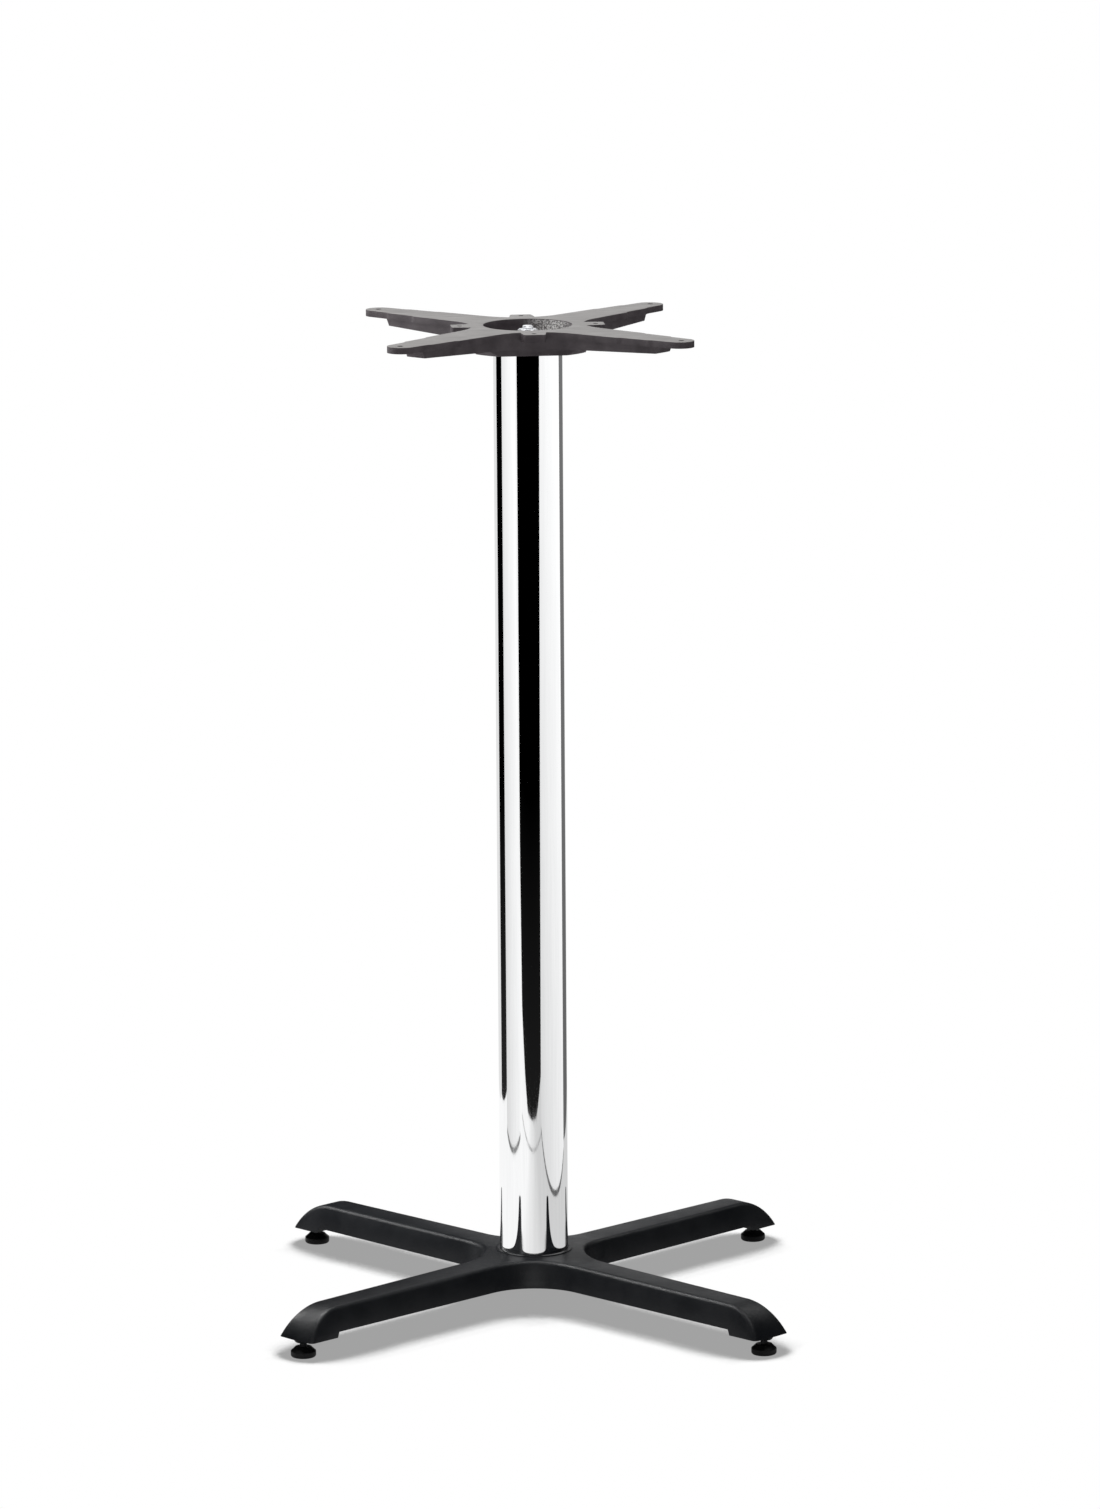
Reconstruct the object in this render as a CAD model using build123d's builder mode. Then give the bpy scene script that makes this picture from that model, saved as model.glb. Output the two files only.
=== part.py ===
"""Pedestal table base: cast-iron X base, chromed column and four-arm top casting on one tie rod.

Millimetres. The origin is on the floor, on the column's axis. +Z is up and -Y is the front.
The legs point at 45 degrees to X and Y.
"""

import os
from math import atan, cos, degrees, pi, radians, sin, sqrt

from build123d import *

# Overall
height = 1100.0  # floor to the plane that the table top rests on
arm_count = 4  # legs below, arms above
first_arm_angle = 45.0
top_turn = 5.7  # the top casting sits turned on the column by this many degrees

# Column tube
tube_diameter = 76.2
tube_wall = 1.5
tube_seat_depth = 4.0  # groove in each casting that holds the tube's end
tube_fit = 0.3  # radial clearance of the tube in its groove

# Base casting
glide_spacing = 503.0  # between neighbouring glides, a square
glide_inset = 13.0  # glide axis to the end edge of the leg
leg_root_half = 29.5  # half width of a leg at its lower edge, near the hub
leg_tip_half = 26.0  # the same at the leg's end
leg_draft = 17.0  # lean of the leg's sides, degrees
leg_bottom = 26.2  # height of the legs' lower edge
toe_bottom = 20.6  # lower edge of the deeper toe at the leg's end
toe_length = 38.7
toe_step_run = 4.0  # length of the sloping step up from the toe
leg_top_at_root = 53.4  # the legs' top where it meets the hub's rise
leg_top_at_toe = 52.6
hub_rise_radius = 92.0  # the hub's top sweeps down to the legs' top here
nose_length = 53.0  # the curved end facet, seen from above
nose_bulge = 9.0  # sagitta of the nose's curve
hub_top = 57.2
hub_flat_radius = 43.0
hub_ledge = 0.8  # small step around the tube's seat
base_wall_radius = 67.5  # from the axis to the wall between two legs
shoulder_radius = 6.0  # along the legs' top edges and down the nose's two creases
base_wall = 6.5  # casting thickness over the hollow underside
hub_boss_radius = 30.0
hub_boss_bottom = 36.0
leg_rib = 6.0

# Levelling glides
stud_diameter = 8.0
stud_top = 26.8
stud_foot = 3.5  # the stud is moulded into the pad down to here
stud_fit = 0.08  # radial clearance of the stud in the leg
stud_hole_top = 28.4
boss_root_radius = 11.5  # cone under the toe, around the stud
boss_tip_radius = 8.8
boss_bottom = 16.8
pad_radius = 13.9
pad_rim_height = 7.6
pad_cap_radius = 9.2
pad_height = 11.6

# Top casting
plate_thickness = 7.0
hole_square = 304.8  # between neighbouring screw holes of the arms
screw_hole = 6.5
tip_reach = 13.5  # arm's end beyond the hole
tip_half = 15.6
arm_root_half = 27.5
arm_root_station = 70.0
top_wall_radius = 62.0  # from the axis to the wall between two arms
shoulder_step = 2.2  # the arm narrows by this at each of its two shoulders
outer_shoulder = 40.0  # from the arm's end
inner_shoulder = 80.0
hub_depth = 26.5  # whole depth of the top casting
rib_root_half = 26.8
rib_tip_half = 12.0
rib_end = 35.0  # the rib ends this far from the arm's end
rib_tip_depth = 8.2  # below the plate
rib_root_depth = 11.8
hub_half = 60.5  # the hub under the plate is a square block with its corners coned off
hub_corner_radius = 71.0
cup_radius = 49.0
cup_depth = 17.0
cup_draft = 3.0
cup_floor_fillet = 6.0
lug_reach = 84.5
lug_tip_half = 11.5
lug_root_half = 14.5
lug_thickness = 9.0
lug_hole = 5.5
lug_hole_radius = 75.0

# Tie rod
rod_diameter = 12.0
rod_fit = 0.5  # radial clearance of the rod in both castings
rod_below_top = 0.8  # the rod's end stops this far under the table top
nut_across_flats = 19.0
nut_height = 10.0
nut_chamfer = 1.0
washer_diameter = 24.0
washer_thickness = 2.5
rod_below_nut = 4.0

# Small roundings
edge_break = 1.0

# Worked out from the above
glide_radius = glide_spacing / sqrt(2)
leg_end = glide_radius + glide_inset
nose_start = leg_end - nose_length
tube_radius = tube_diameter / 2
tube_bore = tube_radius - tube_wall
hole_radius = hole_square / sqrt(2)
arm_end = hole_radius + tip_reach
cup_floor = height - cup_depth
top_underside = height - hub_depth
arm_angles = [first_arm_angle + 360.0 / arm_count * i for i in range(arm_count)]
glide_names = ["back_right", "back_left", "front_left", "front_right"]
top_frame = Plane(
    origin=(0, 0, height),
    x_dir=(cos(radians(top_turn)), sin(radians(top_turn)), 0),
    z_dir=(0, 0, 1),
)


def blend_radius(root_half, root_station, tip_half_width, tip_station, wall_radius):
    """Radius of the concave arc between two neighbouring arms that leaves the wall at wall_radius."""
    slope = (root_half - tip_half_width) / (tip_station - root_station)
    corner_station = (root_half + slope * root_station) / (1 + slope)
    corner = corner_station * sqrt(2)
    half_angle = pi / 4 + atan(slope)
    return (wall_radius - corner) / (1 / sin(half_angle) - 1)


def straight_star(root_half, root_station, tip_half_width, tip_station, wall_radius):
    """Four tapering arms with concave arcs between them, as a flat sketch."""
    slope = (root_half - tip_half_width) / (tip_station - root_station)
    centre_half = root_half + slope * root_station
    with BuildSketch(mode=Mode.PRIVATE) as star:
        with PolarLocations(0, arm_count, start_angle=first_arm_angle):
            Polygon(
                (0, -centre_half),
                (tip_station, -tip_half_width),
                (tip_station, tip_half_width),
                (0, centre_half),
                align=None,
            )
        corners = star.vertices().filter_by(lambda v: v.center().length < wall_radius)
        fillet(
            corners,
            radius=blend_radius(root_half, root_station, tip_half_width, tip_station, wall_radius),
        )
    return star.sketch


def leg_top(radius):
    """Height of the legs' top at a radius: one straight slope from the hub's rise to the nose."""
    fall = (leg_top_at_root - leg_top_at_toe) / (nose_start - hub_rise_radius)
    return leg_top_at_toe + fall * (nose_start - radius)


# The hollow under the base: channels in the legs around a boss that takes the tie rod
toe_start = leg_end - toe_length
hollow_end = toe_start - toe_step_run - base_wall

with BuildPart() as base_hollow:
    with BuildSketch(Plane.XY.offset(toe_bottom)):
        add(
            straight_star(
                leg_root_half - base_wall,
                base_wall_radius,
                leg_tip_half - base_wall,
                leg_end,
                base_wall_radius - base_wall,
            )
        )
    extrude(amount=hub_top - toe_bottom, taper=leg_draft)
    with BuildSketch(Plane.XZ) as hollow_profile:
        with BuildLine():
            Polyline(
                (0, 0),
                (hollow_end, 0),
                (hollow_end, leg_top(hollow_end) - base_wall),
                (hub_rise_radius, leg_top(hub_rise_radius) - base_wall),
                (hub_boss_radius, hub_top - tube_seat_depth - base_wall),
                (hub_boss_radius, hub_boss_bottom),
                (0, hub_boss_bottom),
                close=True,
            )
        make_face()
    revolve(axis=Axis.Z, mode=Mode.INTERSECT)
    with BuildSketch(Plane.XY.offset(leg_bottom + base_wall)):
        with PolarLocations(hub_boss_radius - leg_rib, arm_count, start_angle=first_arm_angle):
            Rectangle(leg_end, leg_rib, align=(Align.MIN, Align.CENTER))
    extrude(amount=hub_top, mode=Mode.SUBTRACT)

# Base casting
with BuildPart() as base_casting:
    with BuildSketch(Plane.XY.offset(toe_bottom)):
        add(
            straight_star(
                leg_root_half,
                base_wall_radius,
                leg_tip_half,
                leg_end + nose_length,
                base_wall_radius,
            )
        )
    extrude(amount=hub_top - toe_bottom + edge_break, taper=leg_draft)
    with BuildSketch(Plane.XZ) as top_slope:
        outside = leg_end + nose_length
        ledge = hub_top - hub_ledge
        with BuildLine():
            slope = Line((outside, leg_top(outside)), (hub_rise_radius, leg_top(hub_rise_radius)))
            TangentArc(slope @ 1, (hub_flat_radius, ledge), tangent=slope % 1)
            Polyline((hub_flat_radius, ledge), (0, ledge), (0, 0), (outside, 0), slope @ 0)
        make_face()
    revolve(axis=Axis.Z, mode=Mode.INTERSECT)
    # The nose's curve, then one rounding along the legs' tops and down the nose's creases
    with BuildSketch(Plane.XZ) as nose_cut:
        with BuildLine():
            nose_foot = (leg_end, toe_bottom)
            nose_head = (nose_start, leg_top(nose_start))
            SagittaArc(nose_foot, nose_head, -nose_bulge)
            Polyline(
                nose_head,
                (nose_start, 2 * hub_top),
                (2 * leg_end, 2 * hub_top),
                (2 * leg_end, 0),
                (leg_end, 0),
                nose_foot,
            )
        make_face()
    revolve(axis=Axis.Z, mode=Mode.SUBTRACT)
    shoulders = base_casting.edges().filter_by(
        lambda e: e.center().Z > leg_top_at_toe - edge_break
        and e.center().length > hub_flat_radius + edge_break
        and e.length > leg_tip_half
    )
    creases = base_casting.edges().filter_by(
        lambda e: e.length > nose_length
        and toe_bottom + edge_break < e.center().Z < leg_top_at_toe - edge_break
        and e.center().length > nose_start
    )
    fillet(shoulders + creases, radius=shoulder_radius)
    # The step up from the toe
    with BuildSketch(Plane.XZ) as toe_cut:
        with BuildLine():
            Polyline(
                (0, 0),
                (toe_start, 0),
                (toe_start, toe_bottom),
                (toe_start - toe_step_run, leg_bottom),
                (0, leg_bottom),
                close=True,
            )
        make_face()
    revolve(axis=Axis.Z, mode=Mode.SUBTRACT)
    add(base_hollow.part, mode=Mode.SUBTRACT)
    # A short cone under each toe that carries the stud's thread
    with BuildSketch(Plane.XY.offset(toe_bottom)):
        with PolarLocations(glide_radius, arm_count, start_angle=first_arm_angle):
            Circle(boss_root_radius)
    extrude(
        amount=-(toe_bottom - boss_bottom),
        taper=degrees(atan((boss_root_radius - boss_tip_radius) / (toe_bottom - boss_bottom))),
    )
    # The raised seat and the tube's groove in it
    with BuildSketch(Plane.XY.offset(hub_top)):
        Circle(hub_flat_radius)
    extrude(amount=-tube_seat_depth)
    with BuildSketch(Plane.XY.offset(hub_top)):
        Circle(tube_radius + tube_fit)
        Circle(tube_bore - tube_fit, mode=Mode.SUBTRACT)
    extrude(amount=-tube_seat_depth, mode=Mode.SUBTRACT)
    with Locations((0, 0, 0)):
        Hole(rod_diameter / 2 + rod_fit)
    with BuildSketch(Plane.XY):
        with PolarLocations(glide_radius, arm_count, start_angle=first_arm_angle):
            Circle(stud_diameter / 2 + stud_fit)
    extrude(amount=stud_hole_top, mode=Mode.SUBTRACT)
base_casting.part.label = "base_casting"

# Column tube, seated in both castings
tube_bottom = hub_top - tube_seat_depth
tube_top = top_underside + tube_seat_depth

with BuildPart() as column_tube:
    with BuildSketch(Plane.XY.offset(tube_bottom)):
        Circle(tube_radius)
        Circle(tube_bore, mode=Mode.SUBTRACT)
    extrude(amount=tube_top - tube_bottom)
column_tube.part.label = "column_tube"


def arm_half(station):
    """Half width of a top arm at a distance from the axis, before its shoulders narrow it."""
    run = hole_radius - arm_root_station
    full_tip = tip_half + 2 * shoulder_step
    return arm_root_half - (arm_root_half - full_tip) * (station - arm_root_station) / run


# Top casting: a plate with four arms, ribs and a hub under it, and four short lugs between the arms
rib_station = arm_end - rib_end
rib_bottom = -plate_thickness - rib_tip_depth
root_bottom = -plate_thickness - rib_root_depth
corner_rise = hub_depth + root_bottom
side_plane = Plane(top_frame.origin, top_frame.x_dir, -top_frame.y_dir)

with BuildPart() as hub_block:
    with BuildSketch(top_frame.offset(-hub_depth)):
        Rectangle(2 * hub_half, 2 * hub_half)
    extrude(amount=hub_depth - plate_thickness)
    with BuildSketch(side_plane):
        with BuildLine():
            Polyline(
                (0, -plate_thickness),
                (hub_corner_radius + corner_rise + rib_root_depth, -plate_thickness),
                (hub_corner_radius, -hub_depth),
                (0, -hub_depth),
                close=True,
            )
        make_face()
    revolve(axis=Axis.Z, mode=Mode.INTERSECT)

with BuildPart() as top_ribs:
    with BuildSketch(top_frame.offset(root_bottom)):
        add(
            straight_star(
                rib_root_half,
                arm_root_station,
                rib_tip_half,
                rib_station,
                top_wall_radius,
            )
        )
    extrude(amount=rib_root_depth)
    with BuildSketch(side_plane):
        with BuildLine():
            Polyline(
                (0, 0),
                (rib_station, 0),
                (rib_station, -plate_thickness),
                (rib_station - rib_tip_depth / 2, rib_bottom),
                (hub_corner_radius, root_bottom),
                (0, root_bottom),
                close=True,
            )
        make_face()
    revolve(axis=Axis.Z, mode=Mode.INTERSECT)

with BuildPart() as top_casting:
    shoulder_run = 2 * shoulder_step
    inner = arm_end - inner_shoulder
    outer = arm_end - outer_shoulder
    side = [
        (0, arm_half(0)),
        (inner - shoulder_run, arm_half(inner - shoulder_run)),
        (inner, arm_half(inner) - shoulder_step),
        (outer - shoulder_run, arm_half(outer - shoulder_run) - shoulder_step),
        (outer, arm_half(outer) - 2 * shoulder_step),
        (hole_radius, tip_half),
    ]
    with BuildSketch(mode=Mode.PRIVATE) as arm_plan:
        with BuildLine():
            Polyline(*[(x, -y) for x, y in side])
            ThreePointArc((hole_radius, -tip_half), (arm_end, 0), (hole_radius, tip_half))
            Polyline(*reversed(side), (0, -arm_half(0)))
        make_face()
        bends = arm_plan.vertices().filter_by(
            lambda v: inner - shoulder_run - edge_break < v.X < outer + edge_break
        )
        fillet(bends, radius=3 * shoulder_step)
    with BuildSketch(top_frame.offset(-plate_thickness)) as plate_plan:
        with PolarLocations(0, arm_count, start_angle=first_arm_angle):
            add(arm_plan.sketch)
        corners = plate_plan.vertices().filter_by(lambda v: v.center().length < top_wall_radius)
        fillet(
            corners,
            radius=blend_radius(
                arm_root_half,
                arm_root_station,
                tip_half + 2 * shoulder_step,
                hole_radius,
                top_wall_radius,
            ),
        )
    extrude(amount=plate_thickness)
    add(top_ribs.part)
    add(hub_block.part)
    with BuildSketch(top_frame.offset(-lug_thickness)) as lug_plan:
        with PolarLocations(0, arm_count):
            with Locations((0, 0)):
                Polygon(
                    (0, -lug_root_half),
                    (top_wall_radius, -lug_root_half),
                    (lug_reach, -lug_tip_half),
                    (lug_reach, lug_tip_half),
                    (top_wall_radius, lug_root_half),
                    (0, lug_root_half),
                    align=None,
                )
        tips = lug_plan.vertices().filter_by(lambda v: v.center().length > lug_reach - edge_break)
        fillet(tips, radius=3 * edge_break)
    extrude(amount=lug_thickness)
    # The open cup that takes the tie rod's nut
    with BuildSketch(top_frame):
        Circle(cup_radius)
    extrude(amount=-cup_depth, taper=cup_draft, mode=Mode.SUBTRACT)
    cup_ring = top_casting.edges().filter_by(GeomType.CIRCLE).filter_by(
        lambda e: e.radius < cup_radius and abs(e.center().Z - cup_floor) < edge_break
    )
    fillet(cup_ring, radius=cup_floor_fillet)
    # The tube's groove in the underside
    with BuildSketch(top_frame.offset(-hub_depth)):
        Circle(tube_radius + tube_fit)
        Circle(tube_bore - tube_fit, mode=Mode.SUBTRACT)
    extrude(amount=tube_seat_depth, mode=Mode.SUBTRACT)
    with Locations((0, 0, height)):
        Hole(rod_diameter / 2 + rod_fit)
    with Locations(top_frame):
        with PolarLocations(hole_radius, arm_count, start_angle=first_arm_angle):
            Hole(screw_hole / 2)
        with PolarLocations(lug_hole_radius, arm_count):
            Hole(lug_hole / 2)
top_casting.part.label = "top_casting"

# Tie rod through the column, with a nut and a washer at each end
rod_top = height - rod_below_top
bottom_nut_seat = hub_boss_bottom - washer_thickness
rod_bottom = bottom_nut_seat - nut_height - rod_below_nut

with BuildPart() as tie_rod:
    with BuildSketch(Plane.XY.offset(rod_bottom)):
        Circle(rod_diameter / 2)
    extrude(amount=rod_top - rod_bottom)
    chamfer(tie_rod.edges().filter_by(GeomType.CIRCLE), length=nut_chamfer)
tie_rod.part.label = "tie_rod"


def washer(base_height):
    """A flat washer on the tie rod, standing on base_height."""
    with BuildPart() as ring:
        with BuildSketch(Plane.XY.offset(base_height)):
            Circle(washer_diameter / 2)
            Circle(rod_diameter / 2 + rod_fit, mode=Mode.SUBTRACT)
        extrude(amount=washer_thickness)
    return ring.part


def nut(base_height):
    """A hexagon nut on the tie rod, standing on base_height, with coned corners."""
    corner_radius = nut_across_flats / 2 / cos(pi / 6)
    with BuildPart() as hexagon:
        with BuildSketch(Plane.XY.offset(base_height)):
            RegularPolygon(radius=corner_radius, side_count=6)
            Circle(rod_diameter / 2, mode=Mode.SUBTRACT)
        extrude(amount=nut_height)
        # A cone over each face takes the hexagon's corners off
        with BuildSketch(Plane.XZ):
            with BuildLine():
                Polyline(
                    (0, base_height),
                    (nut_across_flats / 2, base_height),
                    (corner_radius, base_height + nut_chamfer),
                    (corner_radius, base_height + nut_height - nut_chamfer),
                    (nut_across_flats / 2, base_height + nut_height),
                    (0, base_height + nut_height),
                    close=True,
                )
            make_face()
        revolve(axis=Axis.Z, mode=Mode.INTERSECT)
    return hexagon.part


tie_rod_top_washer = washer(cup_floor)
tie_rod_top_washer.label = "tie_rod_top_washer"
tie_rod_top_nut = nut(cup_floor + washer_thickness)
tie_rod_top_nut.label = "tie_rod_top_nut"
tie_rod_bottom_washer = washer(bottom_nut_seat)
tie_rod_bottom_washer.label = "tie_rod_bottom_washer"
tie_rod_bottom_nut = nut(bottom_nut_seat - nut_height)
tie_rod_bottom_nut.label = "tie_rod_bottom_nut"


def glide_stud(angle):
    """The threaded stud of one levelling glide, with a chamfered end."""
    with BuildPart() as stud:
        with BuildSketch(Plane.XY.offset(stud_foot)):
            with PolarLocations(glide_radius, 1, start_angle=angle):
                Circle(stud_diameter / 2)
        extrude(amount=stud_top - stud_foot)
        chamfer(stud.edges().group_by(Axis.Z)[-1], length=nut_chamfer)
    return stud.part


def glide_pad(angle):
    """The moulded pad of one levelling glide, turned about the stud's axis."""
    centre = Vector(glide_radius, 0, 0).rotate(Axis.Z, angle)
    with BuildPart() as pad:
        with BuildSketch(Plane(origin=centre, x_dir=(1, 0, 0), z_dir=(0, -1, 0))):
            with BuildLine():
                Polyline(
                    (0, 0),
                    (pad_radius - 2 * edge_break, 0),
                    (pad_radius, 2 * edge_break),
                    (pad_radius, pad_rim_height - edge_break),
                    (pad_radius - edge_break, pad_rim_height),
                    (pad_cap_radius, pad_height - edge_break / 2),
                    (pad_cap_radius - edge_break, pad_height),
                    (stud_diameter / 2, pad_height),
                    (stud_diameter / 2, stud_foot),
                    (0, stud_foot),
                    close=True,
                )
            make_face()
        revolve(axis=Axis(origin=centre, direction=(0, 0, 1)))
    return pad.part


os.makedirs("parts", exist_ok=True)
pieces = [
    base_casting.part,
    column_tube.part,
    top_casting.part,
    tie_rod.part,
    tie_rod_top_washer,
    tie_rod_top_nut,
    tie_rod_bottom_washer,
    tie_rod_bottom_nut,
]
for corner, angle in zip(glide_names, arm_angles):
    stud = glide_stud(angle)
    stud.label = "glide_stud_" + corner
    pad = glide_pad(angle)
    pad.label = "glide_pad_" + corner
    pieces += [stud, pad]
for piece in pieces:
    export_step(piece, "parts/" + piece.label + ".step")
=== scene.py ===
# %% [markdown]
# # A pedestal table base, dressed for a catalogue picture
# The real object is a bar-height table base: a black powder-coated iron cross with four levelling glides, a chromed
# steel column, and a rough grey four-arm casting on top that a table top is screwed to.
# The sizes are settled already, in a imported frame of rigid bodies. This notebook puts the finish on it, piece by
# piece, and builds again in finer mesh the pieces whose gloss or thread shows every facet.

from math import cos, pi, radians, sin

import bmesh
import bpy
from mathutils import Matrix, Vector


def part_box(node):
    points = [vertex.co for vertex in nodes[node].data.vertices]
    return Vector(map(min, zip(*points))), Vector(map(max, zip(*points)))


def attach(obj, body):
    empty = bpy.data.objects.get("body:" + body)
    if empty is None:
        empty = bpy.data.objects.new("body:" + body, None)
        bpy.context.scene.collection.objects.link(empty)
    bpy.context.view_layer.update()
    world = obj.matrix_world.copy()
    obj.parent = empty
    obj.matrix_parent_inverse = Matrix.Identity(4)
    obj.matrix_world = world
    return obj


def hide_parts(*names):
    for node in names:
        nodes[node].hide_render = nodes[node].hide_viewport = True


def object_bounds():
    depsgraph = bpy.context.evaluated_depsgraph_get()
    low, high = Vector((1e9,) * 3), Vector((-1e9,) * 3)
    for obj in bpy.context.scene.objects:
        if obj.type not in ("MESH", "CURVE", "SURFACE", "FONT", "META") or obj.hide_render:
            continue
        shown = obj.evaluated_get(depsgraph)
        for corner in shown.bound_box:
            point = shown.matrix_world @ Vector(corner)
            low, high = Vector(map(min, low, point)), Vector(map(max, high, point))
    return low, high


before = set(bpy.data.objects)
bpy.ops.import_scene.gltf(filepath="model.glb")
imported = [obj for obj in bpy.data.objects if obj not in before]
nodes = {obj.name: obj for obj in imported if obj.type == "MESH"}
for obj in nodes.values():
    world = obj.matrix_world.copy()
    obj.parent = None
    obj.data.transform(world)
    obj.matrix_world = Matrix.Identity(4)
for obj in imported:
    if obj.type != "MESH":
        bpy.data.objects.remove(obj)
solid_box = [list(corner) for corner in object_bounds()]
print("box of the solids:", solid_box)

# %% [markdown]
# ## The camera
# The picture was taken with a long lens from about eight and a half metres away and a little above the table top.
# Writing the camera as yaw, pitch and roll keeps the three turns apart, so each can be corrected by itself. The axes
# are then stacked into the camera's matrix, which is exact and needs no constraint or tracking.

# %% Camera
picture_height = 1509
focal_in_pixels = 7933.83
sensor_long_side = 36.0
camera_place = Vector((0.0422386, -8.6410547, 2.2697647))
yaw, pitch, roll = -0.0024, 0.1887, -0.0066

forward = Vector((sin(yaw) * cos(pitch), cos(yaw) * cos(pitch), -sin(pitch)))
level_right = Vector((cos(yaw), -sin(yaw), 0))
level_up = level_right.cross(forward)
right = cos(roll) * level_right + sin(roll) * level_up
up = cos(roll) * level_up - sin(roll) * level_right
turn = Matrix((right, up, -forward)).transposed().to_4x4()

camera_data = bpy.data.cameras.new("camera")
camera_data.sensor_width = sensor_long_side
camera_data.lens = sensor_long_side * focal_in_pixels / picture_height
camera_data.clip_end = 200
camera = bpy.data.objects.new("camera", camera_data)
camera.matrix_world = Matrix.Translation(camera_place) @ turn
bpy.context.scene.collection.objects.link(camera)
bpy.context.scene.camera = camera
bpy.context.scene.view_settings.view_transform = "Standard"
print("lens", round(camera_data.lens, 1), "mm")

# %% [markdown]
# ## Helpers for materials
# Every finish here starts from one Principled shader and adds a few procedural nodes on Object coordinates. A piece's
# object sits at the origin, so Object coordinates are metres in the room and a pattern keeps its real scale. A small
# helper that makes a node, sets its inputs and returns it keeps each recipe readable.

# %% Node helpers


def add_node(tree, kind, inputs=None, **settings):
    """A new node in the tree, with its settings and the given input values or links."""
    node = tree.nodes.new(kind)
    for name, value in settings.items():
        setattr(node, name, value)
    for name, value in (inputs or {}).items():
        if isinstance(value, bpy.types.NodeSocket):
            tree.links.new(value, node.inputs[name])
        else:
            node.inputs[name].default_value = value
    return node


def new_finish(name, **values):
    """A material with one Principled shader whose sockets are set to the given values."""
    material = bpy.data.materials.new(name)
    material.use_nodes = True
    tree = material.node_tree
    shader = tree.nodes["Principled BSDF"]
    for socket, value in values.items():
        shader.inputs[socket.replace("_", " ")].default_value = value
    return material, tree, shader


def noise_on_object(tree, scale, detail=4.0, roughness=0.55, squash=(1, 1, 1)):
    """A noise pattern in metres; squash stretches it along an axis."""
    place = add_node(tree, "ShaderNodeTexCoord")
    mapping = add_node(tree, "ShaderNodeMapping", {"Vector": place.outputs["Object"], "Scale": squash})
    return add_node(
        tree,
        "ShaderNodeTexNoise",
        {"Vector": mapping.outputs["Vector"], "Scale": scale, "Detail": detail, "Roughness": roughness},
    )


def ramp(tree, factor, stops):
    """A colour ramp with the given (place, colour) stops."""
    node = add_node(tree, "ShaderNodeValToRGB", {"Fac": factor})
    elements = node.color_ramp.elements
    while len(elements) < len(stops):
        elements.new(0.5)
    for element, (place, colour) in zip(elements, stops):
        element.position = place
        element.color = (*colour, 1)
    return node


def math_value(tree, operation, *values):
    """The result of one Math node on the given values or links."""
    node = add_node(tree, "ShaderNodeMath", dict(enumerate(values)), operation=operation)
    return node.outputs["Value"]


def map_range(tree, value, low, high, to_low, to_high):
    """A linear map of a value, clamped."""
    return add_node(
        tree,
        "ShaderNodeMapRange",
        {"Value": value, "From Min": low, "From Max": high, "To Min": to_low, "To Max": to_high},
    ).outputs["Result"]


# %% [markdown]
# ## Black powder coat
# Powder coat is a thermoset plastic that melts over the casting in the oven. It hides the sand texture but keeps a
# fine orange peel, so highlights are soft and slightly broken. Two noises do this: a fine one for the peel and a
# broad one that lets the gloss drift from place to place.

# %% Powder coat
powder_black, tree, shader = new_finish(
    "powder_black", Base_Color=(0.007, 0.0075, 0.0086, 1), Roughness=0.36, Specular_IOR_Level=0.2
)
peel = noise_on_object(tree, 900, detail=2)
lumps = noise_on_object(tree, 140, detail=3)
height = math_value(tree, "ADD", peel.outputs["Fac"], lumps.outputs["Fac"])
bump = add_node(tree, "ShaderNodeBump", {"Height": height, "Strength": 0.3, "Distance": 0.0007})
tree.links.new(bump.outputs["Normal"], shader.inputs["Normal"])
drift = noise_on_object(tree, 28, detail=3)
tree.links.new(map_range(tree, drift.outputs["Fac"], 0.3, 0.7, 0.34, 0.46), shader.inputs["Roughness"])
tint = ramp(tree, drift.outputs["Fac"], [(0.3, (0.0050, 0.0056, 0.0068)), (0.7, (0.0076, 0.0083, 0.0097))])
tree.links.new(tint.outputs["Color"], shader.inputs["Base Color"])
print("finish:", powder_black.name)

# %% [markdown]
# ## Grey casting with ground faces
# The top casting is left rough: dark, slightly purple grey on its sides, with a sandy cup. Its upper faces were
# ground flat so that the table top lies true, and they are paler, with fine streaks from the wheel. One material
# holds both, because it is one casting: the height in Object coordinates and the way the face points tell a ground
# face from a cast one.

# %% Where the casting was ground
table_plane = solid_box[1][2]
cast_grey, tree, shader = new_finish("cast_grey", Roughness=0.6, Specular_IOR_Level=0.35)
place = add_node(tree, "ShaderNodeTexCoord")
split = add_node(tree, "ShaderNodeSeparateXYZ", {"Vector": place.outputs["Object"]})
facing = add_node(tree, "ShaderNodeNewGeometry")
facing_split = add_node(tree, "ShaderNodeSeparateXYZ", {"Vector": facing.outputs["True Normal"]})
high = map_range(tree, split.outputs["Z"], table_plane - 0.0012, table_plane - 0.0004, 0, 1)
level = map_range(tree, facing_split.outputs["Z"], 0.75, 0.95, 0, 1)
ground = math_value(tree, "MULTIPLY", high, level)
print("ground faces lie at z =", round(table_plane, 4))

# %% Colours of cast and ground iron
sand = noise_on_object(tree, 1100, detail=3, roughness=0.7)
patches = noise_on_object(tree, 45, detail=4)
cast_colour = ramp(
    tree, patches.outputs["Fac"], [(0.3, (0.060, 0.049, 0.055)), (0.7, (0.105, 0.090, 0.097))]
)
streaks = noise_on_object(tree, 260, detail=4, squash=(0.12, 1, 1))
ground_colour = ramp(
    tree, streaks.outputs["Fac"], [(0.3, (0.25, 0.24, 0.236)), (0.7, (0.37, 0.36, 0.352))]
)
colour = add_node(
    tree,
    "ShaderNodeMix",
    {"Factor": ground, "A": cast_colour.outputs["Color"], "B": ground_colour.outputs["Color"]},
    data_type="RGBA",
)
print("cast and ground colours mixed in", cast_grey.name)

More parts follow.
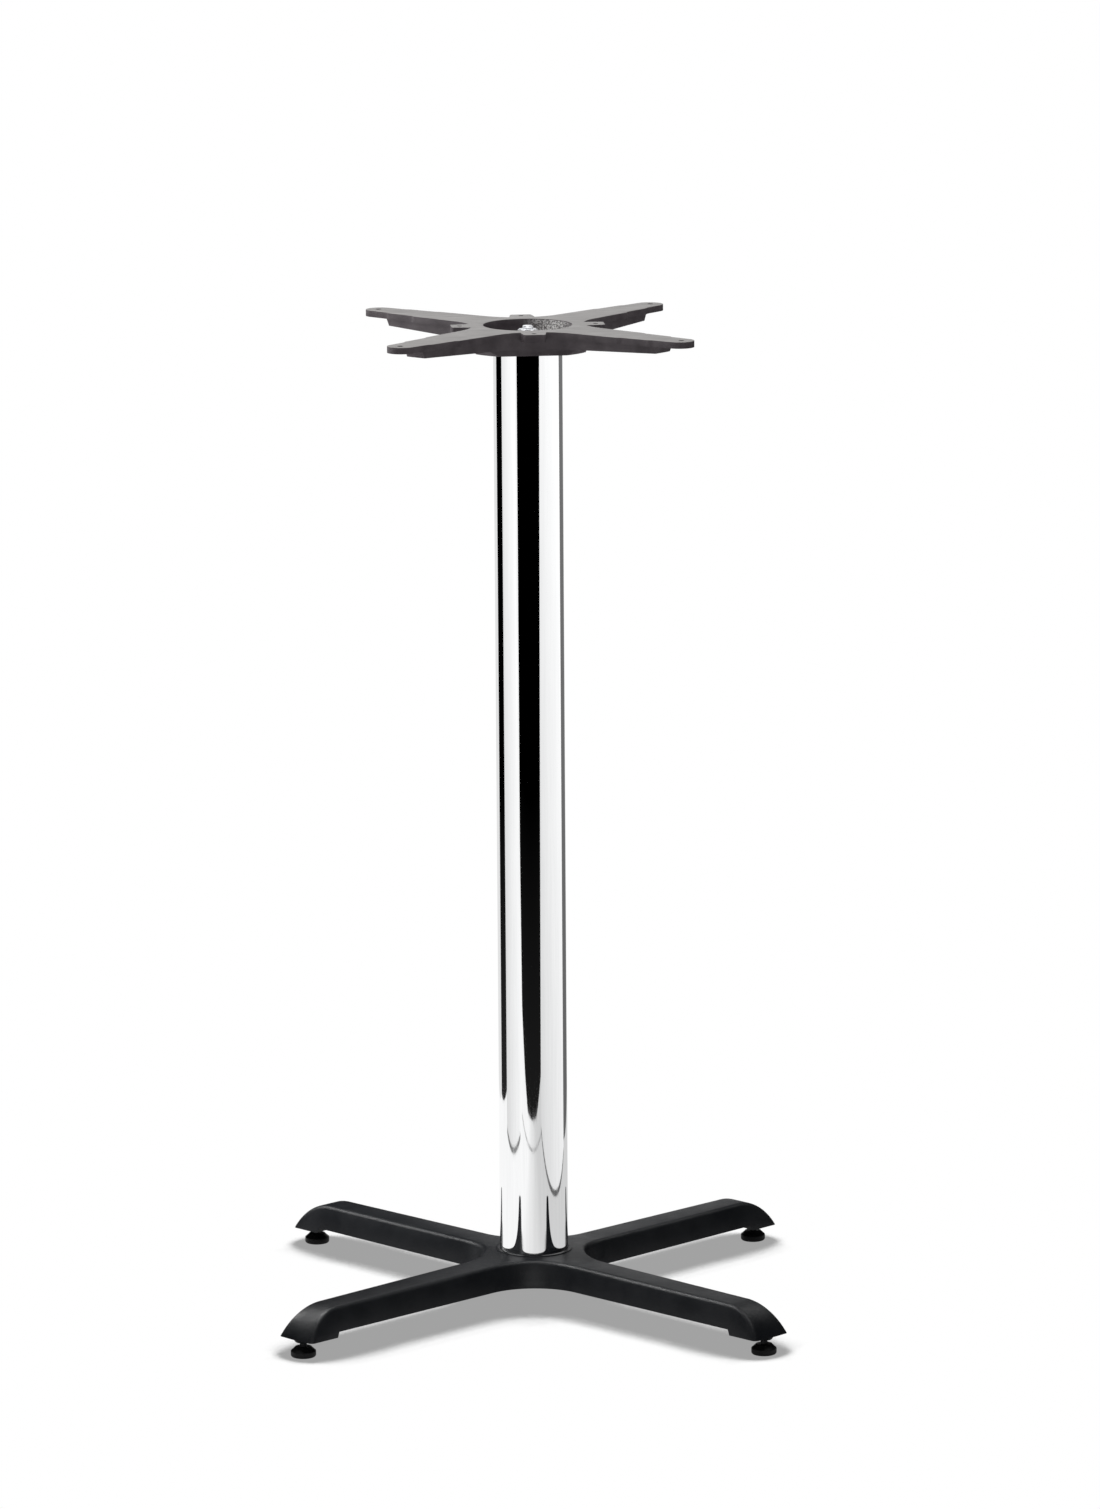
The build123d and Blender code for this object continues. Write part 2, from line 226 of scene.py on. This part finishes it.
# %% [markdown]
# ## The cup's wall and its painted light
# The cup's wall has a coarse grain that shows as specks. Its right-hand half is painted pale, as if lit by the lamp
# on the left: painted light. The left half keeps the dark cast colour, as if in shade. Towards the far right end the
# pale colour is painted darker again, as painted shade that lets the rim show. The distance from the axis and the
# height tell the cup's inside from the rest, and the place along X sets where the painted light and shade fall.

# %% Cup wall with painted light and shade
across = add_node(
    tree, "ShaderNodeVectorMath", {0: place.outputs["Object"], 1: (1, 1, 0)}, operation="MULTIPLY"
)
radius = add_node(tree, "ShaderNodeVectorMath", {0: across.outputs["Vector"]}, operation="LENGTH")
cup_radius = 0.049
in_cup = map_range(tree, radius.outputs["Value"], cup_radius + 0.0006, cup_radius + 0.0002, 0, 1)
below = map_range(tree, split.outputs["Z"], table_plane - 0.0004, table_plane - 0.0010, 0, 1)
# Painted light: the right half of the cup's wall is made pale, as if lit by the lamp on the left; the left half stays
# dark as if in shade.
painted_lit_side = map_range(tree, split.outputs["X"], -0.006, 0.022, 0, 1)
# Painted shade: towards the far right end of the wall the pale colour fades again, so the rim shows.
painted_shade_far_right = map_range(tree, split.outputs["X"], 0.032, 0.046, 1, 0.25)
painted_light_on_cup = math_value(tree, "MULTIPLY", in_cup, below)
painted_light_on_cup = math_value(tree, "MULTIPLY", painted_light_on_cup, painted_lit_side)
painted_light_on_cup = math_value(tree, "MULTIPLY", painted_light_on_cup, painted_shade_far_right)
grit = noise_on_object(tree, 620, detail=2, roughness=0.6)
# The specks are the wall's own grain; their pale tone on the right is painted light.
grit_with_painted_light = ramp(tree, grit.outputs["Fac"], [(0.40, (0.16, 0.15, 0.15)), (0.60, (0.95, 0.94, 0.92))])
whole = add_node(
    tree,
    "ShaderNodeMix",
    {"Factor": painted_light_on_cup, "A": colour.outputs["Result"], "B": grit_with_painted_light.outputs["Color"]},
    data_type="RGBA",
)
tree.links.new(whole.outputs["Result"], shader.inputs["Base Color"])
cast_depth, ground_depth = 0.0007, 0.00012
depth = map_range(tree, ground, 0, 1, cast_depth, ground_depth)
rough = add_node(
    tree, "ShaderNodeBump", {"Height": sand.outputs["Fac"], "Strength": 0.7, "Distance": depth}
)
tree.links.new(rough.outputs["Normal"], shader.inputs["Normal"])
print("finish:", cast_grey.name)

# %% [markdown]
# ## Chrome, zinc and moulded plastic
# Chrome is almost a mirror, so its look comes from what stands around it. A faint polishing grain along the tube is
# enough. Zinc plate on the nuts and rod is duller, with a slightly cloudy gloss. The glide pads are matt black
# plastic with the fine texture of a moulding.

# %% Chrome
chrome, tree, shader = new_finish("chrome", Metallic=1.0, Roughness=0.035)
grain = noise_on_object(tree, 60, detail=3, squash=(6, 6, 0.15))
silver = ramp(tree, grain.outputs["Fac"], [(0.25, (0.90, 0.905, 0.91)), (0.75, (0.96, 0.963, 0.966))])
tree.links.new(silver.outputs["Color"], shader.inputs["Base Color"])
tree.links.new(map_range(tree, grain.outputs["Fac"], 0.3, 0.7, 0.025, 0.05), shader.inputs["Roughness"])
print("finish:", chrome.name)

# %% Zinc plate
zinc, tree, shader = new_finish("zinc_steel", Metallic=0.45, Roughness=0.35)
cloud = noise_on_object(tree, 220, detail=4)
pale = ramp(tree, cloud.outputs["Fac"], [(0.3, (0.82, 0.83, 0.85)), (0.7, (0.97, 0.98, 1.0))])
tree.links.new(pale.outputs["Color"], shader.inputs["Base Color"])
tree.links.new(map_range(tree, cloud.outputs["Fac"], 0.3, 0.7, 0.26, 0.45), shader.inputs["Roughness"])
print("finish:", zinc.name)

# %% Black plated steel
black_steel, tree, shader = new_finish("black_steel", Metallic=0.2, Roughness=0.4, Specular_IOR_Level=0.4)
plating = noise_on_object(tree, 300, detail=3)
dark = ramp(tree, plating.outputs["Fac"], [(0.3, (0.012, 0.012, 0.013)), (0.7, (0.030, 0.030, 0.032))])
tree.links.new(dark.outputs["Color"], shader.inputs["Base Color"])
print("finish:", black_steel.name)

# %% Moulded plastic
pad_plastic, tree, shader = new_finish(
    "pad_plastic", Base_Color=(0.006, 0.006, 0.0065, 1), Roughness=0.48, Specular_IOR_Level=0.3
)
texture = noise_on_object(tree, 1500, detail=2)
moulded = add_node(
    tree, "ShaderNodeBump", {"Height": texture.outputs["Fac"], "Strength": 0.3, "Distance": 0.0002}
)
tree.links.new(moulded.outputs["Normal"], shader.inputs["Normal"])
wear = noise_on_object(tree, 90, detail=3)
tree.links.new(map_range(tree, wear.outputs["Fac"], 0.3, 0.7, 0.42, 0.58), shader.inputs["Roughness"])
print("finish:", pad_plastic.name)

# %% [markdown]
# ## Finishes for the solids
# Every solid of the frame gets its finish, also where a finer piece stands for it later, so a check that shows the
# solids shows them in their colours. The helper here shades a finer piece smooth up to an angle, so that a turned or
# blended face reads as one surface while machined edges stay crisp. The solids' meshes aren't touched.

# %% Give every solid its finish
finishes = {"base_casting": powder_black, "column_tube": chrome, "top_casting": cast_grey}


def finish_of(node_name):
    """The material that a node of the frame gets."""
    if node_name.startswith("glide_pad"):
        return pad_plastic
    if node_name.startswith("glide_stud"):
        return black_steel
    return finishes.get(node_name, zinc)


def shade_by_angle(mesh, angle):
    """Smooth faces, with edges sharper than the angle marked sharp."""
    mesh.shade_smooth()
    work = bmesh.new()
    work.from_mesh(mesh)
    for edge in work.edges:
        edge.smooth = len(edge.link_faces) == 2 and edge.calc_face_angle(0) < angle
    work.to_mesh(mesh)
    work.free()


for name, solid in nodes.items():
    solid.data.materials.clear()
    solid.data.materials.append(finish_of(name))
    print(name, len(solid.data.polygons), "faces,", finish_of(name).name)

# %% [markdown]
# ## Castings with broken edges
# No cast edge is knife sharp: the sand rounds it and the powder fills it. A copy of the solid's mesh is merged, its
# flat faces are dissolved into single polygons, and a Bevel modifier rounds every edge that is sharper than thirty
# degrees. The copy stands for the solid, which stays in the frame for collision. The nuts and washers get the same
# treatment with a smaller radius.

# %% Softened copies of the castings


def softened_copy(node_name, edge_radius, body):
    """A merged copy of a solid with rounded edges, which replaces it in the picture."""
    mesh = nodes[node_name].data.copy()
    work = bmesh.new()
    work.from_mesh(mesh)
    bmesh.ops.remove_doubles(work, verts=work.verts, dist=0.00001)
    bmesh.ops.dissolve_limit(
        work, angle_limit=radians(0.3), verts=work.verts, edges=work.edges, use_dissolve_boundaries=False
    )
    work.to_mesh(mesh)
    work.free()
    piece = bpy.data.objects.new(node_name + "_softened", mesh)
    bpy.context.scene.collection.objects.link(piece)
    bevel = piece.modifiers.new("edge radius", "BEVEL")
    bevel.width = edge_radius
    bevel.segments = 2
    bevel.limit_method = "ANGLE"
    bevel.angle_limit = radians(30)
    bevel.use_clamp_overlap = True
    evaluated = piece.evaluated_get(bpy.context.evaluated_depsgraph_get())
    rounded = bpy.data.meshes.new_from_object(evaluated)
    piece.modifiers.clear()
    piece.data = rounded
    shade_by_angle(rounded, radians(32))
    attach(piece, body)
    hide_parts(node_name)
    print(piece.name, len(rounded.polygons), "faces")
    return piece


cast_edge, steel_edge = 0.0007, 0.0003
base_piece = softened_copy("base_casting", cast_edge, "pedestal")
top_piece = softened_copy("top_casting", cast_edge, "pedestal")
fastenings = []
for name in ("tie_rod_top_washer", "tie_rod_top_nut", "tie_rod_bottom_washer", "tie_rod_bottom_nut"):
    fastening = softened_copy(name, steel_edge, "pedestal")
    fastenings.append(fastening)

# %% [markdown]
# ## The column
# A chromed tube shows every facet as a kink in its reflections, so it is turned afresh with many sides. Its profile,
# outside, rim and bore, is carried round the axis in mesh code, because one closed ring of quads is all it is. The
# same helper turns the glide pads later.

# %% Column tube


def turned(name, profile, sides, centre, body):
    """A piece turned from a (radius, height) profile about an upright axis, which rides on a body."""
    work = bmesh.new()
    rings = []
    for step in range(sides):
        angle = 2 * pi * step / sides
        x, y = cos(angle), sin(angle)
        rings.append([work.verts.new((centre[0] + r * x, centre[1] + r * y, z)) for r, z in profile])
    for step in range(sides):
        near, far = rings[step], rings[(step + 1) % sides]
        for i in range(len(profile)):
            j = (i + 1) % len(profile)
            if profile[i][0] > 0 or profile[j][0] > 0:
                work.faces.new((near[i], far[i], far[j], near[j]))
    bmesh.ops.remove_doubles(work, verts=work.verts, dist=0.000001)
    bmesh.ops.recalc_face_normals(work, faces=work.faces)
    mesh = bpy.data.meshes.new(name)
    work.to_mesh(mesh)
    work.free()
    shade_by_angle(mesh, radians(35))
    piece = bpy.data.objects.new(name, mesh)
    bpy.context.scene.collection.objects.link(piece)
    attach(piece, body)
    return piece


tube_low, tube_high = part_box("column_tube")
outer = tube_high.x
wall = 0.0015
rim = 0.0003
tube_sides, pad_sides = 192, 96
tube_profile = [
    (outer - rim, tube_low.z),
    (outer, tube_low.z + rim),
    (outer, tube_high.z - rim),
    (outer - rim, tube_high.z),
    (outer - wall + rim, tube_high.z),
    (outer - wall, tube_high.z - rim),
    (outer - wall, tube_low.z + rim),
    (outer - wall + rim, tube_low.z),
]
column = turned("column_chromed", tube_profile, tube_sides, (0, 0), "pedestal")
column.data.materials.append(chrome)
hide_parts("column_tube")
print("column:", len(column.data.polygons), "faces")

# %% [markdown]
# ## Glide pads
# Each pad is a moulded foot: a wide rim that meets the floor and a cone above it that grips the stud. A mould leaves
# every corner round, so the profile has a few points at each corner, and turning it gives the whole pad. Its socket,
# where the stud sits, is part of the same profile.

# %% Pads
socket_radius, socket_depth = 0.0040, 0.0035
pads = {}
pad_pieces = []
for name in nodes:
    if name.startswith("glide_pad"):
        low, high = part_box(name)
        centre = ((low.x + high.x) / 2, (low.y + high.y) / 2)
        wide = (high.x - low.x) / 2
        tall = high.z - low.z
        foot = low.z
        pad_profile = [
            (0, foot),
            (wide - 0.0021, foot),
            (wide - 0.0012, foot + 0.0003),
            (wide - 0.0004, foot + 0.0011),
            (wide, foot + 0.0022),
            (wide, foot + 0.0064),
            (wide - 0.0003, foot + 0.0071),
            (wide - 0.0010, foot + 0.0076),
            (wide - 0.0042, foot + tall - 0.0010),
            (wide - 0.0048, foot + tall - 0.0003),
            (wide - 0.0056, foot + tall),
            (socket_radius, foot + tall),
            (socket_radius, foot + socket_depth),
            (0, foot + socket_depth),
        ]
        corner = name.removeprefix("glide_pad_")
        pad = turned("pad_moulded_" + corner, pad_profile, pad_sides, centre, "glide_" + corner)
        pad.data.materials.append(pad_plastic)
        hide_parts(name)
        pads[corner] = centre
        pad_pieces.append(pad)
print("pads:", sorted(pads))

# %% [markdown]
# ## Threads
# The tie rod's ends and the four studs are screws, and a screw follows a rule: its radius rises and falls with
# height, and the pattern turns once for each pitch. Geometry Nodes says that rule once, on a grid wrapped into a
# cylinder, and named inputs make each screw from it. A swept helix would work too, but a wrapped grid leaves a
# closed, even mesh.

# %% The screw's rule as a node tree


def screw_tree():
    """A node tree that wraps a grid into a closed threaded rod."""
    tree = bpy.data.node_groups.new("threaded_rod", "GeometryNodeTree")
    sockets = tree.interface
    sockets.new_socket(name="Geometry", in_out="OUTPUT", socket_type="NodeSocketGeometry")
    for name, kind in (
        ("Radius", "NodeSocketFloat"),
        ("Pitch", "NodeSocketFloat"),
        ("Depth", "NodeSocketFloat"),
        ("Length", "NodeSocketFloat"),
        ("Foot", "NodeSocketVector"),
        ("Sides", "NodeSocketInt"),
        ("Rows", "NodeSocketInt"),
        ("Finish", "NodeSocketMaterial"),
    ):
        sockets.new_socket(name=name, in_out="INPUT", socket_type=kind)
    given = tree.nodes.new("NodeGroupInput").outputs

    def calc(operation, *values):
        """The result of one Math node of this tree."""
        return math_value(tree, operation, *values)

    grid = add_node(
        tree,
        "GeometryNodeMeshGrid",
        {
            "Size X": 1.0,
            "Size Y": 1.0,
            "Vertices X": calc("ADD", given["Sides"], 1),
            "Vertices Y": calc("ADD", given["Rows"], 1),
        },
    )
    flat = add_node(tree, "GeometryNodeInputPosition")
    flat = add_node(tree, "ShaderNodeSeparateXYZ", {"Vector": flat.outputs["Position"]})
    share = calc("ADD", flat.outputs["X"], 0.5)
    row = calc("ROUND", calc("MULTIPLY", calc("ADD", flat.outputs["Y"], 0.5), given["Rows"]))
    last = calc("SUBTRACT", given["Rows"], 2)
    inner = calc("MINIMUM", calc("MAXIMUM", calc("SUBTRACT", row, 1), 0), last)
    along = calc("MULTIPLY", calc("DIVIDE", inner, last), given["Length"])
    phase = calc("SUBTRACT", calc("DIVIDE", along, given["Pitch"]), share)
    wave = calc("MULTIPLY_ADD", calc("COSINE", calc("MULTIPLY", phase, 2 * pi)), -0.5, 0.5)
    threaded = calc("SUBTRACT", given["Radius"], calc("MULTIPLY", given["Depth"], wave))
    from_end = calc("MINIMUM", along, calc("SUBTRACT", given["Length"], along))
    chamfered = calc("ADD", calc("SUBTRACT", given["Radius"], given["Depth"]), from_end)
    half_rows = calc("DIVIDE", given["Rows"], 2)
    from_middle = calc("ABSOLUTE", calc("SUBTRACT", row, half_rows))
    beyond = calc("GREATER_THAN", from_middle, calc("SUBTRACT", half_rows, 0.5))
    open_radius = calc("MINIMUM", threaded, chamfered)
    radius = calc("MULTIPLY", open_radius, calc("SUBTRACT", 1, beyond))
    angle = calc("MULTIPLY", share, 2 * pi)
    wrapped = add_node(
        tree,
        "ShaderNodeCombineXYZ",
        {
            "X": calc("MULTIPLY", radius, calc("COSINE", angle)),
            "Y": calc("MULTIPLY", radius, calc("SINE", angle)),
            "Z": along,
        },
    )
    placed = add_node(
        tree, "ShaderNodeVectorMath", {0: wrapped.outputs["Vector"], 1: given["Foot"]}, operation="ADD"
    )
    rod = add_node(
        tree,
        "GeometryNodeSetPosition",
        {"Geometry": grid.outputs["Mesh"], "Position": placed.outputs["Vector"]},
    )
    closed = add_node(
        tree, "GeometryNodeMergeByDistance", {"Geometry": rod.outputs["Geometry"], "Distance": 0.000002}
    )
    real = add_node(tree, "GeometryNodeRealizeInstances", {"Geometry": closed.outputs["Geometry"]})
    finished = add_node(
        tree,
        "GeometryNodeSetMaterial",
        {"Geometry": real.outputs["Geometry"], "Material": given["Finish"]},
    )
    end = tree.nodes.new("NodeGroupOutput")
    tree.links.new(finished.outputs["Geometry"], end.inputs["Geometry"])
    return tree


threaded_rod = screw_tree()
print("tree:", threaded_rod.name, "with", len(threaded_rod.nodes), "nodes")

# %% [markdown]
# ## Growing a screw from the tree
# A modifier's inputs are set by their identifiers, before the object is first evaluated. The result is then taken as
# a plain mesh, so nothing procedural is left on the piece, and several results can be joined into one.

# %% Grow and join


def grown(values):
    """The plain mesh that the screw tree makes from the given inputs."""
    holder = bpy.data.objects.new("screw_holder", bpy.data.meshes.new("screw_holder"))
    bpy.context.scene.collection.objects.link(holder)
    modifier = holder.modifiers.new("screw", "NODES")
    modifier.node_group = threaded_rod
    for item in threaded_rod.interface.items_tree:
        if item.in_out == "INPUT":
            modifier[item.identifier] = values[item.name]
    evaluated = holder.evaluated_get(bpy.context.evaluated_depsgraph_get())
    mesh = bpy.data.meshes.new_from_object(evaluated)
    bpy.data.objects.remove(holder)
    return mesh


def joined_piece(name, meshes, finish, body):
    """One object of several meshes, with one finish, which rides on a body."""
    work = bmesh.new()
    for mesh in meshes:
        work.from_mesh(mesh)
    for face in work.faces:
        face.material_index = 0
    mesh = bpy.data.meshes.new(name)
    work.to_mesh(mesh)
    work.free()
    mesh.materials.clear()
    mesh.materials.append(finish)
    shade_by_angle(mesh, radians(50))
    piece = bpy.data.objects.new(name, mesh)
    bpy.context.scene.collection.objects.link(piece)
    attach(piece, body)
    print(name, len(mesh.polygons), "faces")
    return piece


# %% Glide studs
rows_per_turn = 10
stud_sides, rod_sides = 32, 40
stud_pitch, stud_depth = 0.00125, 0.00068
studs = []
for corner, (x, y) in pads.items():
    low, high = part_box("glide_stud_" + corner)
    tall = high.z - low.z
    screw = grown(
        {
            "Radius": (high.x - low.x) / 2,
            "Pitch": stud_pitch,
            "Depth": stud_depth,
            "Length": tall,
            "Foot": (x, y, low.z),
            "Sides": stud_sides,
            "Rows": int(tall / stud_pitch * rows_per_turn),
            "Finish": black_steel,
        }
    )
    stud = joined_piece("stud_threaded_" + corner, [screw], black_steel, "glide_" + corner)
    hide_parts("glide_stud_" + corner)
    studs.append(stud)

# %% Tie rod
rod_low, rod_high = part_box("tie_rod")
rod_radius = rod_high.x
rod_pitch, rod_depth = 0.00175, 0.00095
shank_radius = rod_radius - 0.0006
thread_length = 0.045
shank_overlap = 0.001
thread_rows = int(thread_length / rod_pitch * rows_per_turn)
shank_rows = 8
sections = []
for low_z, high_z, radius, depth, rows in (
    (rod_low.z, rod_low.z + thread_length, rod_radius, rod_depth, thread_rows),
    (
        rod_low.z + thread_length - shank_overlap,
        rod_high.z - thread_length + shank_overlap,
        shank_radius,
        0.0,
        shank_rows,
    ),
    (rod_high.z - thread_length, rod_high.z, rod_radius, rod_depth, thread_rows),
):
    sections.append(
        grown(
            {
                "Radius": radius,
                "Pitch": rod_pitch,
                "Depth": depth,
                "Length": high_z - low_z,
                "Foot": (0.0, 0.0, low_z),
                "Sides": rod_sides,
                "Rows": rows,
                "Finish": zinc,
            }
        )
    )
tie_rod = joined_piece("tie_rod_threaded", sections, zinc, "pedestal")
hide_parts("tie_rod")
fastenings.append(tie_rod)

# %% [markdown]
# ## Floor
# The floor is plain pale paper, pure white in the picture but for an even grey shadow with soft edges, which lies
# under the legs and a little behind them. An Ambient Occlusion node measures how much of the near air is blocked, on
# the side towards the camera, and that share sets the glow that the camera and the chrome see. A lamp's shadow would
# be darker under the hub than under the legs. All other rays meet plain diffuse paper.

# %% Floor sheet
floor_mesh = bpy.data.meshes.new("floor")
reach = 30.0
floor_mesh.from_pydata(
    [(-reach, -reach, 0), (reach, -reach, 0), (reach, reach, 0), (-reach, reach, 0)], [], [(0, 1, 2, 3)]
)
floor = bpy.data.objects.new("floor", floor_mesh)
bpy.context.scene.collection.objects.link(floor)
print("floor:", 2 * reach, "m square")

# %% Paper and its shadow
paper = bpy.data.materials.new("paper")
paper.use_nodes = True
tree = paper.node_tree
tree.nodes.clear()
rays = add_node(tree, "ShaderNodeLightPath")
camera_ray = rays.outputs["Is Camera Ray"]
glossy_ray = rays.outputs["Is Glossy Ray"]
clear_ray = rays.outputs["Is Transmission Ray"]
shadow_reach = 0.085
towards_camera = (0, -0.97, 0.243)
shadow_grey = 0.362
open_air = add_node(
    tree,
    "ShaderNodeAmbientOcclusion",
    {"Distance": shadow_reach, "Normal": towards_camera},
    samples=16,
)
in_shadow, in_open = 0.76, 0.865
shade = map_range(tree, open_air.outputs["AO"], in_shadow, in_open, shadow_grey, 1.0)
place = add_node(tree, "ShaderNodeTexCoord")
split = add_node(tree, "ShaderNodeSeparateXYZ", {"Vector": place.outputs["Object"]})
# Painted light: to the chrome, the paper glows brighter on the left and dimmer on the right, as if lit from the left.
painted_light_slant = map_range(tree, split.outputs["X"], -0.24, 0.16, 1.0, 0.66)
direct = math_value(tree, "MAXIMUM", camera_ray, clear_ray)
mirrored = math_value(tree, "MULTIPLY", glossy_ray, painted_light_slant)
strength = math_value(tree, "MAXIMUM", direct, mirrored)
strength = math_value(tree, "MULTIPLY", shade, strength)
seen = math_value(tree, "MAXIMUM", direct, glossy_ray)
lit = add_node(tree, "ShaderNodeBsdfDiffuse", {"Color": (0.8, 0.8, 0.8, 1)})
shown = add_node(tree, "ShaderNodeEmission", {"Strength": strength})
blend = add_node(tree, "ShaderNodeMixShader", {"Fac": seen, 1: lit.outputs[0], 2: shown.outputs[0]})
add_node(tree, "ShaderNodeOutputMaterial", {"Surface": blend.outputs[0]})
floor_mesh.materials.append(paper)
print("paper:", len(tree.nodes), "nodes")

# %% [markdown]
# ## Light
# A wide lamp straight overhead lights the ground faces, and a weaker one the black casting. Softboxes draw the
# highlights: two small ones on the left for the legs' rounded edges, faint ones on the right and in front, and a
# large one for the top casting. Light linking lets each serve only its own pieces, as flags and snoots do in a
# studio. The world fills the shadows a little, and is white to the camera.

# %% World
world = bpy.data.worlds.new("studio")
bpy.context.scene.world = world
world.use_nodes = True
tree = world.node_tree
tree.nodes.clear()
rays = add_node(tree, "ShaderNodeLightPath")
white = add_node(tree, "ShaderNodeBackground", {"Color": (1, 1, 1, 1), "Strength": 1.0})
fill = add_node(tree, "ShaderNodeBackground", {"Color": (0.97, 0.98, 1, 1), "Strength": 0.25})
shown = math_value(tree, "MAXIMUM", rays.outputs["Is Camera Ray"], rays.outputs["Is Transmission Ray"])
shown = math_value(tree, "MAXIMUM", shown, map_range(tree, rays.outputs["Is Glossy Ray"], 0, 1, 0, 0.4))
mixed = add_node(tree, "ShaderNodeMixShader", {"Fac": shown, 1: fill.outputs[0], 2: white.outputs[0]})
add_node(tree, "ShaderNodeOutputWorld", {"Surface": mixed.outputs[0]})
print("world:", world.name)

# %% Lamps overhead


def only_for(light, pieces):
    """The light reaches only the given pieces."""
    group = bpy.data.collections.new("lit_by_" + light.name)
    for piece in pieces:
        group.objects.link(piece)
    light.light_linking.receiver_collection = group


def daylight(name, energy, pieces):
    """A wide sun straight overhead that lights only the given pieces."""
    data = bpy.data.lights.new(name, "SUN")
    data.energy = energy
    data.angle = radians(38)
    lamp = bpy.data.objects.new(name, data)
    lamp.location = (0, 0, 3)
    bpy.context.scene.collection.objects.link(lamp)
    only_for(lamp, pieces)


upper = [top_piece] + fastenings
lower = [base_piece] + studs
daylight("overhead", 0.8 * pi, [floor, column] + upper)
daylight("overhead_base", 0.35 * pi, lower + pad_pieces)
print("lit from above:", len(upper) + len(lower) + len(pad_pieces) + 2, "pieces")

# %% Softboxes


def softbox(name, place, aim, width, height, power, pieces):
    """A rectangular lamp that faces a point and lights only the given pieces."""
    data = bpy.data.lights.new(name, "AREA")
    data.shape = "RECTANGLE"
    data.size = width
    data.size_y = height
    data.energy = power
    lamp = bpy.data.objects.new(name, data)
    lamp.location = place
    lamp.rotation_mode = "QUATERNION"
    lamp.rotation_quaternion = (Vector(aim) - Vector(place)).to_track_quat("-Z", "Y")
    bpy.context.scene.collection.objects.link(lamp)
    only_for(lamp, pieces)


softbox("left_high", (-1.2, 0.3, 1.2), (0, 0, 0.95), 0.9, 1.2, 12, upper)
softbox("left_near", (-0.35, 0.05, 0.70), (0, 0.40, 0), 0.36, 0.26, 6.5, lower)
softbox("left_far", (-0.93, 0.61, 0.70), (-0.58, 0.96, 0), 0.36, 0.26, 12, lower)
softbox("right_low", (0.62, 0.50, 0.74), (0.05, 0.05, 0.03), 0.3, 0.3, 1.6, lower)
softbox("front_low", (0, -1.6, 0.36), (0, 0, 0.03), 0.6, 0.3, 5, lower)

# %% [markdown]
# ## What the chrome sees
# The column mirrors the room: pale walls at the left, the right and the back left, a dim one at the back right, a
# dark gap between the walls on the left, the joints at the floor, and the dark opening that the camera looks
# through. Cards stand where the reflections put them. Only glossy rays see them, and only from the chrome and the
# zinc, so they light and shade nothing else, and the camera never meets one.

# %% A reflected card
cards = []


def card(name, corners, strength, by_y=0.0, by_z=0.0):
    """A glowing card that only the chrome and zinc see; its glow may change along Y and Z, per metre."""
    mesh = bpy.data.meshes.new(name)
    mesh.from_pydata(corners, [], [tuple(range(len(corners)))])
    material = bpy.data.materials.new(name)
    material.use_nodes = True
    tree = material.node_tree
    tree.nodes.clear()
    place = add_node(tree, "ShaderNodeTexCoord")
    split = add_node(tree, "ShaderNodeSeparateXYZ", {"Vector": place.outputs["Object"]})
    glow = math_value(tree, "MULTIPLY_ADD", split.outputs["Y"], by_y, strength)
    glow = math_value(tree, "MULTIPLY_ADD", split.outputs["Z"], by_z, glow)
    light = add_node(tree, "ShaderNodeEmission", {"Strength": math_value(tree, "MAXIMUM", glow, 0.0)})
    add_node(tree, "ShaderNodeOutputMaterial", {"Surface": light.outputs[0]})
    mesh.materials.append(material)
    item = bpy.data.objects.new(name, mesh)
    bpy.context.scene.collection.objects.link(item)
    item.visible_camera = False
    item.visible_diffuse = False
    item.visible_transmission = False
    item.visible_shadow = False
    only_for(item, [column] + fastenings)
    cards.append(item)


# %% Walls and joints
wall_top = 1.9
joint = 0.008


def wall(name, foot_start, foot_end, strength, by_y=0.0, by_z=0.0, lean=(0, 0), low=joint):
    """An upright card between two points of the floor; lean moves its start's top edge."""
    (x0, y0), (x1, y1) = foot_start, foot_end
    top_start = (x0 + lean[0], y0 + lean[1], wall_top)
    card(name, [(x0, y0, low), (x1, y1, low), (x1, y1, wall_top), top_start], strength, by_y, by_z)


def strip(name, start, end, low, high, strength):
    """A low card along the floor: the dark joint where a wall meets it."""
    (x0, y0), (x1, y1) = start, end
    card(name, [(x0, y0, low), (x1, y1, low), (x1, y1, high), (x0, y0, high)], strength)


left_front, left_back = (-0.562, -0.60), (-0.83, 0.105)
right_front, right_back = (0.379, -0.777), (0.605, 0.38)
wall("left_wall", left_front, left_back, 0.76, by_y=-0.36, by_z=0.16)
wall("right_wall", right_front, right_back, 0.86, by_y=0.20, by_z=0.24, lean=(0.082, 0.43))
wall("left_gap", (-1.06, 0.12), (-0.78, 0.66), 0.02, by_z=-0.05, low=0)
wall("back_left_wall", (-0.78, 0.66), (-0.1, 1.15), 0.8, low=0)
wall("back_right_wall", (0.66, 0.42), (0.30, 1.0), 0.13, by_z=0.05, low=0)
strip("left_joint", left_front, left_back, 0, joint, 0.16)
strip("right_joint", right_front, right_back, 0, joint, 0.12)
print("walls and joints:", len(cards))

# %% The opening
opening_y = -0.925
opening = [
    (-0.29, 0.0),
    (0.20, 0.0),
    (0.50, 0.035),
    (0.61, 0.10),
    (0.72, 0.30),
    (0.71, wall_top),
    (-0.69, wall_top),
    (-0.72, 0.30),
    (-0.63, 0.10),
    (-0.45, 0.035),
]
card("opening", [(x, opening_y, z) for x, z in opening], 0.012, by_z=-0.03)
strip("front_joint", (-0.571, -0.76), (0.45, -0.76), 0, 0.004, 0.35)
print("cards:", len(cards))
